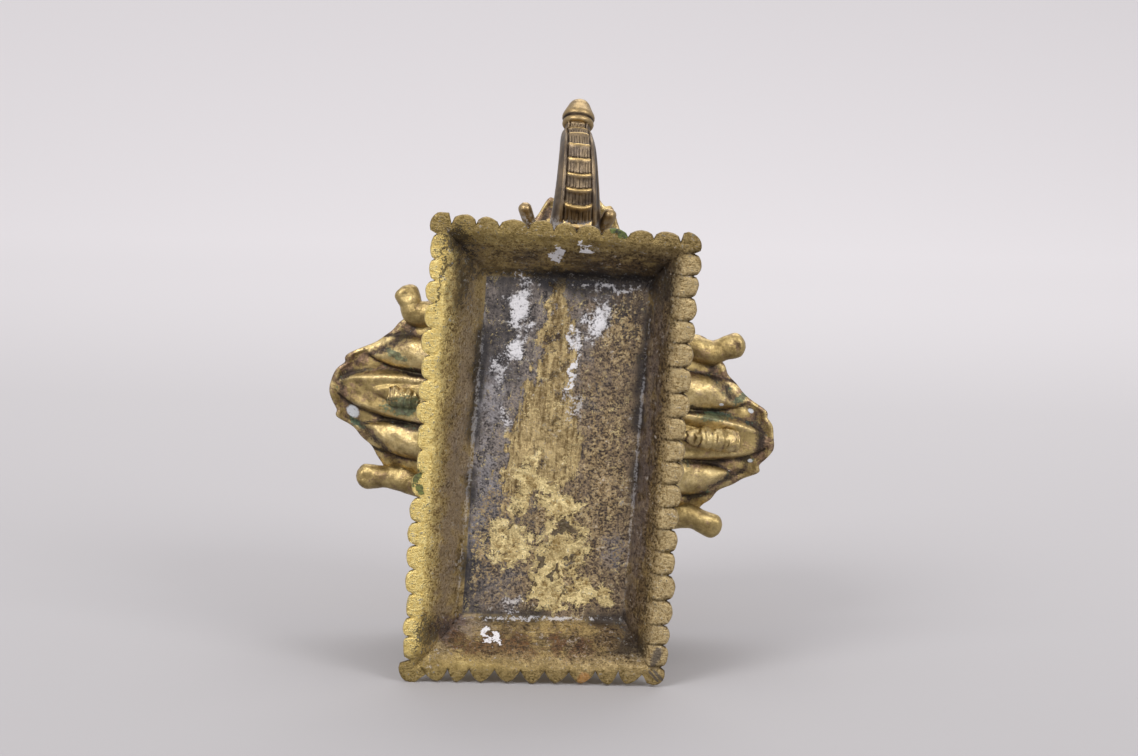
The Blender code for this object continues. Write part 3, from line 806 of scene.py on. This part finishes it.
def fused(bm, voxel, smoothing):
    """One smooth skin over the shapes in this mesh: its points, their normals and its faces."""
    mesh = bpy.data.meshes.new("shapes")
    bm.to_mesh(mesh)
    bm.free()
    rough = bpy.data.objects.new("shapes", mesh)
    bpy.context.scene.collection.objects.link(rough)
    remesh = rough.modifiers.new("one skin", "REMESH")
    remesh.mode = "VOXEL"
    remesh.voxel_size = voxel
    soften = rough.modifiers.new("soften", "SMOOTH")
    soften.iterations = smoothing
    skin = rough.evaluated_get(bpy.context.evaluated_depsgraph_get()).data
    points = np.array([vertex.co for vertex in skin.vertices])
    normals = np.array([vertex.normal for vertex in skin.vertices])
    faces = [tuple(face.vertices) for face in skin.polygons]
    bpy.data.objects.remove(rough)
    return points, normals, faces


def curve_through(points, steps):
    """Points on a Catmull-Rom curve through the given ones, with this many steps between each two."""
    points = [Vector(point) for point in points]
    ends = [2 * points[0] - points[1], *points, 2 * points[-1] - points[-2]]
    made = []
    for before, start, end, after in zip(ends, ends[1:], ends[2:], ends[3:]):
        for step in range(steps):
            t = step / steps
            linear = 2 * start + (end - before) * t
            square = (2 * before - 5 * start + 4 * end - after) * t**2
            cube = (3 * start - before - 3 * end + after) * t**3
            made.append((linear + square + cube) / 2)
    return [*made, points[-1]]


def ways(line):
    """The way that a line runs at each of its points."""
    return [line[min(i + 1, len(line) - 1)] - line[max(i - 1, 0)] for i in range(len(line))]


def swept(line, widths, heights, around=28):
    """Rings round a line, each with its half-width and half-height."""
    turns = [2 * math.pi * step / around for step in range(around)]
    rings = []
    for centre, along, width, height in zip(line, ways(line), widths, heights):
        side = along.cross(Vector((0, 0, 1))).normalized()
        top = side.cross(along).normalized()
        rings.append([centre + side * math.cos(t) * width + top * math.sin(t) * height for t in turns])
    return np.array(rings)


def body_shell():
    """Body, head, legs, ears, tail, saddle cloth and the stem's core, as one skin."""
    bm = bmesh.new()

    # belly, rump, shoulders and the cloth over the back
    ball(bm, (0, 0, 27), (17.5, 34, 13.5))
    ball(bm, (0, 21, 27.5), (17, 19, 14))
    ball(bm, (0, -20, 28.5), (15.5, 18, 13), 10)
    ball(bm, cloth_middle, cloth_half)

    # on each side two legs with toes, a swell of the brow, an ear, an eye and the root of a tusk
    for side in (-1, 1):
        for y, bend in ((-25, 2), (27, -2)):
            hip = (side * (leg_spread - 1), y, 23)
            knee = (side * leg_spread, y - bend, 11)
            sole = (side * leg_spread, y, 2)
            limb(bm, [hip, knee, sole], [leg_radius + 2, leg_radius, leg_radius + 0.8])
            for toe in (-3.8, 0, 3.8):
                ball(bm, (side * leg_spread + toe, y - 7.4 + abs(toe) * 0.35, 2.2), (1.7, 1.3, 2))
        ball(bm, (side * 5.5, -45, 37), (6.5, 8, 6.5))
        ball(bm, (side * 14, -35, 26), (2.6, 10, 12.5), -14)
        ball(bm, (side * 11.4, -51.5, 31.5), (1.6, 2.6, 1.7))
        limb(bm, [(side * 7, -55, 19), (side * 9, -60, 15)], [5, 3.4])

    # skull, the trunk's root, jaw and tail
    ball(bm, (0, -46, 29), (12.5, 14, 14), 20)
    ball(bm, (0, -57, 20), (8.5, 9, 10), 30)
    limb(bm, [(0, -50, 13), (0, -58, 9)], [4.4, 3])
    limb(bm, [(0, 37, 34), (0, 42, 24), (1, 42.5, 14), (2, 41.5, 8)], [3, 2.2, 1.9, 2.6])
    for top, radius in ((41, 1.92), (45, 1.32), (47, 1.74)):
        limb(bm, [(0, 0, top - 2.2), (0, 0, top)], [radius, radius])

    # the hem of the cloth stands out, and the rest of the skin is folded and uneven
    points, normals, faces = fused(bm, voxel=0.68, smoothing=6)
    points[:, 2] = np.maximum(points[:, 2], 0)
    cloth = np.linalg.norm((points - cloth_middle) / cloth_half, axis=1)
    on_cloth = bell(cloth - 1, 0.03)
    hem = on_cloth * bell(np.abs(points[:, 1] - cloth_middle[1]) - 11.6, 0.6)
    skin_folds = (1 - on_cloth) * lumps(points * (0.35, 1.6, 1.0), 3.2, 5)
    points = points + normals * (0.3 * hem + 0.22 * skin_folds + 0.25 * lumps(points, 7, 6))[:, None]
    points[:, 2] = np.maximum(points[:, 2], 0)
    return points, faces, {"worn": hem * 0.6, "deep": np.clip(-skin_folds, 0, 1) * 0.4}


def stem_shell():
    """The waisted stem on the cloth, to which the pan is soldered."""
    profile = [(38, 10.3), (41, 9.3), (43, 7.4), (44.5, 6.5), (45.4, 6.6), (46.5, 8.7), (47.2, 9), (48, 8.8)]
    levels, sizes = zip(*profile)
    rows, around = 34, 72
    heights = np.linspace(levels[0], figure_high.z / mm - figure_low.z / mm, rows)[:, None]
    radii = np.interp(heights, levels, sizes)
    turns = np.linspace(0, 2 * math.pi, around, endpoint=False)
    grid = np.stack([radii * np.cos(turns), radii * np.sin(turns), heights + 0 * turns], axis=2)
    return rings_shell(grid, worn=0.3)


def below(along):
    """The way down from a line that runs this way, square to it."""
    return np.array((0, -along.z, along.y))


def trunk_shell():
    """The trunk runs forward out of the face, sags, and rises to its knob."""
    root = Vector((trunk_shifts[0], -53, 20))
    tip = Vector((trunk_shifts[1], -trunk_reach + 0.77 * knob_length, trunk_lift - 0.55 * knob_length))
    lean = tip.x - root.x
    reach = root.y - tip.y
    line = curve_through(
        [
            root,
            root + Vector((0.35 * lean, -0.22 * reach, -5)),
            root + Vector((0.35 * lean, -0.42 * reach, -8.6)),
            root + Vector((0.45 * lean, -0.62 * reach, -8)),
            root + Vector((0.7 * lean, -0.82 * reach, -3.9)),
            tip + Vector((0, 0.08 * reach, -2.2)),
            tip,
        ],
        trunk_steps,
    )
    share = np.linspace(0, 1, len(line))[:, None]
    radius = trunk_root + (trunk_tip - trunk_root) * share**0.8 - 0.5 * bell(share - 0.97, 0.05)
    turn = np.linspace(-math.pi, math.pi, trunk_points, endpoint=False)[None]
    twist = trunk_twist * (1 - share) ** 1.2

    # the strip of scutes along the underside, each with strokes filed across it, between two ridges
    strip = np.sin(turn) / strip_share
    under = (np.abs(turn) < math.pi / 2) * 1.0
    on_strip = under * (1 - np.clip((np.abs(strip) - 0.92) / 0.1, 0, 1))
    phase = share**1.2 * scutes - 0.24 * strip**2 * (1 - share) ** 0.7
    rise = phase % 1
    scute = rise**1.6 * (1 - bell(1 - rise, 0.05))
    fade = np.clip((share - 0.1) / 0.1, 0, 1) * np.clip((1.02 - share) / 0.05, 0, 1)
    strokes = np.cos(strip * strokes_across * math.pi + 0.5 * np.sin(3 * phase))
    stroke = np.clip(strokes * 1.6 - 0.2, 0, 1)
    stroke = stroke * smooth(rise / 0.12) * smooth((0.74 - rise) / 0.14) * on_strip * fade
    edge = bell(np.abs(strip) - 1.0, 0.07) * under
    ridge = bell(np.abs(strip) - 1.2, 0.1) * under
    leaf = bell(strip - 1.42, 0.08) * under * bell(share - 0.45, 0.3)
    drop = 0.95 * scute * on_strip * fade - 0.5 * stroke - 0.7 * edge + 0.4 * ridge - 0.4 * leaf
    flat = 0.16 * radius * on_strip * np.cos(turn) ** 2
    wide = radius + 0.4 * drop
    deep = radius * 0.98 + drop - flat
    across = np.sin(turn + twist) * wide
    down = np.cos(turn + twist) * deep
    rings = []
    for i, (centre, along) in enumerate(zip(line, ways(line))):
        along = along.normalized()
        rings.append(np.array(centre) + across[i][:, None] * (1, 0, 0) + down[i][:, None] * below(along))
    # the marks paint a highlight along each scute's lip, and shade just under it, in the stroke grooves and
    # along the strip's edges
    worn = 0.8 * bell(1 - rise, 0.16) * on_strip * fade + 0.35 * ridge + 0.25 * on_strip
    dark = stroke * 0.8 + edge + bell(rise, 0.1) * on_strip * fade + leaf

    # the knob, with a groove behind its swell: how far along it, and its radius as a share of the tip's
    knob = [
        (0.00, 0.95),
        (0.03, 1.08),
        (0.10, 1.15),
        (0.17, 1.13),
        (0.21, 1.05),
        (0.25, 1.09),
        (0.30, 1.18),
        (0.38, 1.18),
        (0.44, 1.14),
        (0.55, 1.02),
        (0.68, 0.88),
        (0.80, 0.76),
        (0.90, 0.60),
        (0.96, 0.40),
        (1.0, 0.12),
    ]
    ends = np.linspace(0, 1, 46)
    round_tip = np.sin(turn[0])[:, None] * (1, 0, 0) + np.cos(turn[0])[:, None] * below(along)
    for end, size in zip(ends, np.interp(ends, *zip(*knob))):
        rings.append(np.array(tip + along * knob_length * end) + trunk_tip * size * round_tip)
    band = bell(ends - 0.23, 0.04)[:, None] + 0 * turn
    grid = np.array(rings)
    grid += 0.12 * lumps(grid, 4, 8)[:, :, None] * (0, 1, 1)
    worn = np.concatenate([worn, 0.5 * (1 - band)])
    return rings_shell(grid, worn=worn, deep=np.concatenate([dark, band]))


def tusk_shell(side):
    """A tusk that leaves the cheek beside the trunk's root, and ends in a round tip."""
    cheek = (side * tusk_spread / 2, -58, 17)
    middle = (side * tusk_spread * 0.8, -65, 14)
    line = curve_through([cheek, middle, (side * tusk_spread, -tusk_reach, 12)], 12)
    ends = np.linspace(0, 1, len(line))
    tip = np.clip((ends - 0.86) / 0.14, 0, 1)
    radii = tusk_radius * (0.9 + 0.2 * ends) * np.sqrt(np.clip(1 - tip**2, 0.02, 1))
    return rings_shell(swept(line, radii, radii), worn=0.45)


def figure_metal():
    """Dull dark brass, rubbed to gold and painted with highlights where it stands out, painted shade in its
    hollows, and grey solder below the trunk's root.
    """
    material, shader, place = surface("figure_brass")
    worn, deep = mark(place, "worn"), mark(place, "deep")
    cloud = grain(place, 5, 5, 0.6)
    mottle = grain(place, 1.2, 5, 0.7)
    speckle = grain(place, 0.4, 3, 0.7)
    dull = mix(cloud.over(0.3, 0.7), tone(92, 82, 74), tone(140, 122, 98))
    gold = mix(mottle, tone(176, 148, 96), tone(214, 184, 128))
    # gold where it is rubbed, and a painted highlight on the scute lips
    shown = (worn + (mottle - 0.5) * 0.5).over(0.2, 0.8)
    colour = mix(shown, dull, gold)
    # painted shade in the folds, the grooves and under the scute lips
    colour = mix(deep.over(0.2, 0.9) * 0.85, colour, tone(46, 36, 28))
    x, y, z = axes(place)
    low_down = (1 - z.over(11, 16)) * (1 - (x * 0.5).over(-3, 3) * 0.5)
    solder = (1 - abs(y + 64).over(1.5, 6)) * low_down * grain(place, 2.2, 6, 0.8).over(0.46, 0.56)
    colour = mix(solder * 0.85, colour, tone(190, 188, 190))
    rough = 0.36 + speckle * 0.14 - shown * 0.08 + solder * 0.3
    metal = 1 - solder * 0.8
    relief = speckle * 0.4 + mottle * 0.6
    finish(shader, colour, rough, metal, relief, 0.12)
    return material


figure_shells = [body_shell(), stem_shell(), trunk_shell(), tusk_shell(-1), tusk_shell(1)]
figure_shells = [(points * mm, faces, found) for points, faces, found in figure_shells]
figure = cast_piece("elephant_cast", figure_shells, figure_base, figure_metal(), ["worn", "deep"])
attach(figure, "root")
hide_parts("elephant")

# Wick pan
# A cast pan with four leaf-shaped spouts for wicks, soldered to the stem on the figure's back. Petals stand
# out from its underside, and a finger of metal curls off each shoulder of a spout.
_, pan_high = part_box("lamp_pan")
pan_shift, pan_rise = 1 * mm, 15.3 * mm  # how far its rim is forward of the foot's middle and over the stem
pan_middle = Vector((foot_centre.x, foot_centre.y - pan_shift, figure_high.z + pan_rise))
pan_twist = math.radians(3.3)
arm_reach = 72
pan_depth = 15
pan_wall = 1.3
lobe_radius, lobe_length = 4, 11
keel_radius, keel_lumps = 3.7, 5
lobe_splays = [(40, 33), (45, 45), (22, 75), (45, 45)]  # of the curls on the right, rear, left and front arm


def arm_edge():
    """Angles from the arm's line, and how far the pan's edge lies from its middle there."""
    shares = [
        (1.0, 0.0),
        (0.994, 0.035),
        (0.976, 0.075),
        (0.952, 0.108),
        (0.955, 0.132),
        (0.936, 0.15),
        (0.87, 0.182),
        (0.81, 0.225),
        (0.765, 0.268),
        (0.71, 0.34),
        (0.64, 0.42),
        (0.55, 0.44),
        (0.45, 0.45),
    ]
    line = np.array(curve_through([(*share, 0) for share in shares], 12)) * arm_reach
    return np.arctan2(line[:, 1], line[:, 0]), np.hypot(line[:, 0], line[:, 1])


def petal(out, across, start, end, middle, half_width):
    """How far across one petal each place lies: 0 along its middle, 1 at its edge and more outside."""
    along = np.clip(2 * (out - start) / (end - start) - 1, -1, 1)
    return np.abs(across - middle) / (half_width * np.sqrt(np.clip(1 - along**2, 1e-4, 1)))


def dome(share):
    """A round swell, 1 in the middle of a petal and 0 at its edge."""
    return np.sqrt(np.clip(1 - share**2, 0, 1))


def pan_shell():
    """The pan from its middle out over the petals to the rim, and back in over the trough."""
    edge_angles, edge_reach = arm_edge()
    arm_points, under_rows, trough_rows, core = 170, 80, 34, 0.06
    quarter = np.linspace(-1, 1, arm_points, endpoint=False)
    from_arm = np.tile(np.sign(quarter) * np.abs(quarter) ** 1.25 * math.pi / 4, 4)[None]
    arm = np.repeat(np.arange(4), arm_points)[None]
    turn = arm * math.pi / 2 + from_arm
    edge = np.interp(np.abs(from_arm[0]), edge_angles, edge_reach)[None]
    edge = edge + 0.45 * np.sin(9 * turn) * np.sin(31 * turn + 1) + 0.2 * np.sin(57 * turn)
    outer = 1 - (1 - np.linspace(core, 1, under_rows)) ** 1.15
    inner = np.linspace(1, core, trough_rows)
    share = np.concatenate([outer, inner])[:, None]
    side = np.concatenate([np.ones(under_rows), np.zeros(trough_rows)])[:, None]
    out = edge * share * np.cos(from_arm) / arm_reach
    across = edge * share * np.sin(from_arm) / arm_reach
    fall = 1 - smooth((out - 0.36) / 0.64)
    main = petal(out, across, start=-0.1, end=0.975, middle=0, half_width=0.128)
    nested = petal(out, across, start=-0.2, end=0.80, middle=0.012, half_width=0.066)
    flanks = [petal(out, across, start=0.2, end=0.87, middle=y, half_width=0.084) for y in (0.192, -0.192)]
    raised = smooth((1.06 - main) / 0.3)
    raised = raised * (0.72 + 0.14 * bell(main - 0.72, 0.3) + 0.26 * dome(nested) ** 0.7)
    relief = np.maximum.reduce([raised, *[0.85 * dome(flank) ** 0.8 for flank in flanks]])
    relief = np.where(out < 0.3, np.maximum(relief, smooth((0.34 - out) / 0.06)), relief)
    inside = 0.55 * pan_depth * fall * (1 - share**3)
    bed = inside + pan_wall
    spare = np.clip(pan_depth * (0.3 + 0.7 * fall) - bed, 0, None)
    lip = 0.5 * bell((1 - share) * edge - 1.2, 0.8)
    depth = bed + spare * smooth((1 - share) / 0.12) * (0.2 + 0.8 * relief) + lip
    places = np.stack([out * arm_reach, across * arm_reach, arm * 20.0 + 0 * out], 2)
    uneven = 0.4 * lumps(places, 5, 9) + 0.2 * lumps(places, 1.8, 19)
    depth = np.where(side > 0, np.clip(depth + uneven, 0, pan_depth), inside)
    x = edge * share * np.cos(turn)
    y = edge * share * np.sin(turn)
    near_rim = smooth(1 - (1 - share) * edge / 3.2) * np.ones_like(x)
    # the marks: rubbed gold and a painted highlight on the petals' swells and at the rim, painted shade in
    # the creases and in a band just inside the rim
    creases = bell(main - 1.06, 0.13) + sum(bell(flank - 1.05, 0.12) for flank in flanks)
    deep = np.clip(creases + 0.8 * bell((1 - share) * edge - 4, 2.4), 0, 1) * side * (out > 0.3)
    swells = sum(dome(flank) for flank in flanks) + bell(main - 0.8, 0.25)
    worn = np.clip(swells + near_rim, 0, 1) * side + (1 - side) * 0.5
    return rings_shell(np.stack([x, y, -depth], 2), worn=worn, deep=deep, rim=near_rim)


def on_arm(arm, points):
    """Points on an arm, given as shares of its reach out and across, and in depth."""
    turn = Matrix.Rotation(arm * math.pi / 2, 3, "Z")
    return [turn @ (Vector(point) * arm_reach) for point in points]


def lobe_shell(arm, flank, splay):
    """A finger of metal that curls away from a spout's shoulder, thick and dimpled at its end."""
    ahead = Vector((math.cos(splay), math.sin(splay) * flank, 0.12)) * lobe_length / arm_reach
    start = Vector((0.46, 0.42 * flank, -0.065))
    inner = Vector((0.57, 0.385 * flank, -0.06))
    tip = Vector((0.69, 0.335 * flank, -0.045)) + ahead
    base = Vector((0.66, 0.37 * flank, -0.05))
    line = on_arm(arm, curve_through([start, inner, base, (base + tip) / 2, tip], 14))
    ends = np.linspace(0, 1, len(line))
    width = np.interp(ends, [0, 0.3, 0.5, 0.66, 0.8, 0.9, 1], [0.8, 1.05, 1.02, 0.9, 0.98, 1.02, 1.0])
    tip = np.sqrt(np.clip(1 - np.clip((ends - 0.84) / 0.16, 0, 1) ** 2.2, 0.01, 1))
    widths = lobe_radius * width * tip
    grid = swept(line, widths, widths * 0.92)
    middle = np.array(line[-8])
    near = np.linalg.norm(grid - middle - (0, 0, -lobe_radius), axis=2)
    grid[:, :, 2] += 0.8 * bell(near, 2.0)
    grid += (0.3 * lumps(grid, 4, 10 + arm) + 0.15 * lumps(grid, 1.5, 20 + arm))[:, :, None] * (0.6, 0.6, 1)
    return rings_shell(grid, worn=0.45, deep=0.5 * bell(near, 1.8))


def keel_shell(arm, start, length, radius):
    """The knobbed ridge under a side spout, pointed at its inner end."""
    outer = Vector((start, 0, -0.11)) * arm_reach
    ahead = Vector((-0.97, 0, -0.24)) * length
    ends = np.linspace(0, 1, 90)
    line = on_arm(arm, [(outer + ahead * end) / arm_reach for end in ends])
    lump = 0.9 + 0.1 * np.abs(np.cos(math.pi * keel_lumps * ends)) ** 0.7
    point = np.minimum(1, 0.3 + 2.2 * (1 - ends)) * np.sqrt(np.clip(ends / 0.06, 0.05, 1))
    grid = swept(line, radius * lump * point, radius * lump * point, 36)
    rough = lumps(grid, 1.7, 14) + 0.5 * lumps(grid, 0.9, 15)
    grid += (0.42 * rough)[:, :, None] * (0.7, 0.7, 1)
    groove = bell(np.cos(math.pi * keel_lumps * ends), 0.25)[:, None]
    return rings_shell(grid, worn=0.9 - 0.3 * groove, deep=np.clip(0.3 * groove - 0.5 * rough, 0, 1))


def pan_metal():
    """Olive brass, rubbed gold with painted highlights, purple-brown in between, painted shade, verdigris
    and white crumbs.
    """
    material, shader, place = surface("pan_brass")
    worn, deep, rim = [mark(place, name) for name in ("worn", "deep", "rim")]
    speck = cut(grain(place, 0.7, 2, 0.6))
    fleck = cut(grain(place, 1.6, 5, 0.75), width=0.12)
    cloud = cut(grain(place, 6, 5, 0.65))
    grit = speck * 0.3 + fleck * 0.4
    olive = mix(fleck * 0.35 + cloud * 0.5 + 0.5, tone(128, 108, 68), tone(196, 172, 116))
    bright = mix(fleck * 0.5 + 0.5, tone(180, 155, 102), tone(232, 210, 156))
    # gold where it is rubbed, and a painted highlight on the petals' swells and the rim
    colour = mix((worn * 0.9 + cloud * 0.4).over(0.35, 1.05), olive, bright)
    stained = grain(place, 4.2, 6, 0.75).over(0.42, 0.58) * 0.7 + deep * 0.55 + rim * 0.35 - worn * 0.1
    purple = (stained + grit * 0.5).over(0.4, 1.0)
    colour = mix(purple * 0.8, colour, mix(fleck + 0.5, tone(72, 54, 52), tone(142, 112, 96)))
    # painted shade in the creases and just inside the rim, broken up by noise
    dark = (deep * 0.9 + cloud * 0.5 + grit * 0.4).over(0.35, 0.95)
    colour = mix(dark * 0.85, colour, tone(46, 42, 42))
    green_places = [
        (-47, 2, 6, 3.4, 0),
        (52, -7, 5, 1.6, 0),
        (-62, 11, 3, 1.6, 30),
        (60, -14, 4, 1.2, -40),
        (-52, -13, 4, 1.2, 20),
    ]
    wet_green = stains(place, cloud * 0.6, green_places, 0.7)
    greens = grain(place, 3.4, 5, 0.7).over(0.58, 0.66) * deep.over(0.1, 0.6)
    green = torn(wet_green.largest(greens) * 0.85, grit * 0.8)
    colour = mix(green * 0.75, colour, mix(fleck + 0.5, tone(22, 40, 36), tone(86, 112, 82)))
    white_places = [
        (-63.5, 7.5, 2.4, 1.8, 30),
        (63, -9.5, 1, 0.7, 20),
        (53, -11, 0.8, 0.5, 0),
        (65, 6.5, 0.9, 0.6, 0),
    ]
    blots = torn(stains(place, fleck * 1.1, white_places, 0.7) * 0.9, fleck * 0.8)
    crumbs = grain(place, 2.4, 6, 0.85).over(0.64, 0.68) * deep.over(0.2, 0.6)
    white = blots.largest(crumbs * 0.8)
    colour = mix(white * 0.9, colour, tone(214, 217, 222))
    rough = 0.4 + speck * 0.1 + deep * 0.15 + white * 0.3
    metal = 0.92 - white.largest(green * 0.7) * 0.9
    relief = speck * 0.2 + fleck * 0.35 + white * 0.5 + purple * 0.15
    finish(shader, colour, rough, metal, relief, 0.1)
    return material


pan_shells = [pan_shell()]
for arm, flanks in enumerate(lobe_splays):
    for flank, splay in zip((-1, 1), flanks):
        pan_shells.append(lobe_shell(arm, flank, math.radians(splay)))
pan_shells.append(keel_shell(0, 0.84, 0.28 * arm_reach, keel_radius))
pan_shells.append(keel_shell(2, 0.73, 0.17 * arm_reach, 0.9 * keel_radius))
pan_top = Vector((math.inf, math.inf, (pan_high.z - pan_middle.z) / mm))
pan_shells = [(np.minimum(points, pan_top) * mm, faces, found) for points, faces, found in pan_shells]
pan = cast_piece("lamp_pan_cast", pan_shells, pan_middle, pan_metal(), ["worn", "deep", "rim"])
pan.rotation_euler.z = pan_twist
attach(pan, "root")
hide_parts("lamp_pan")
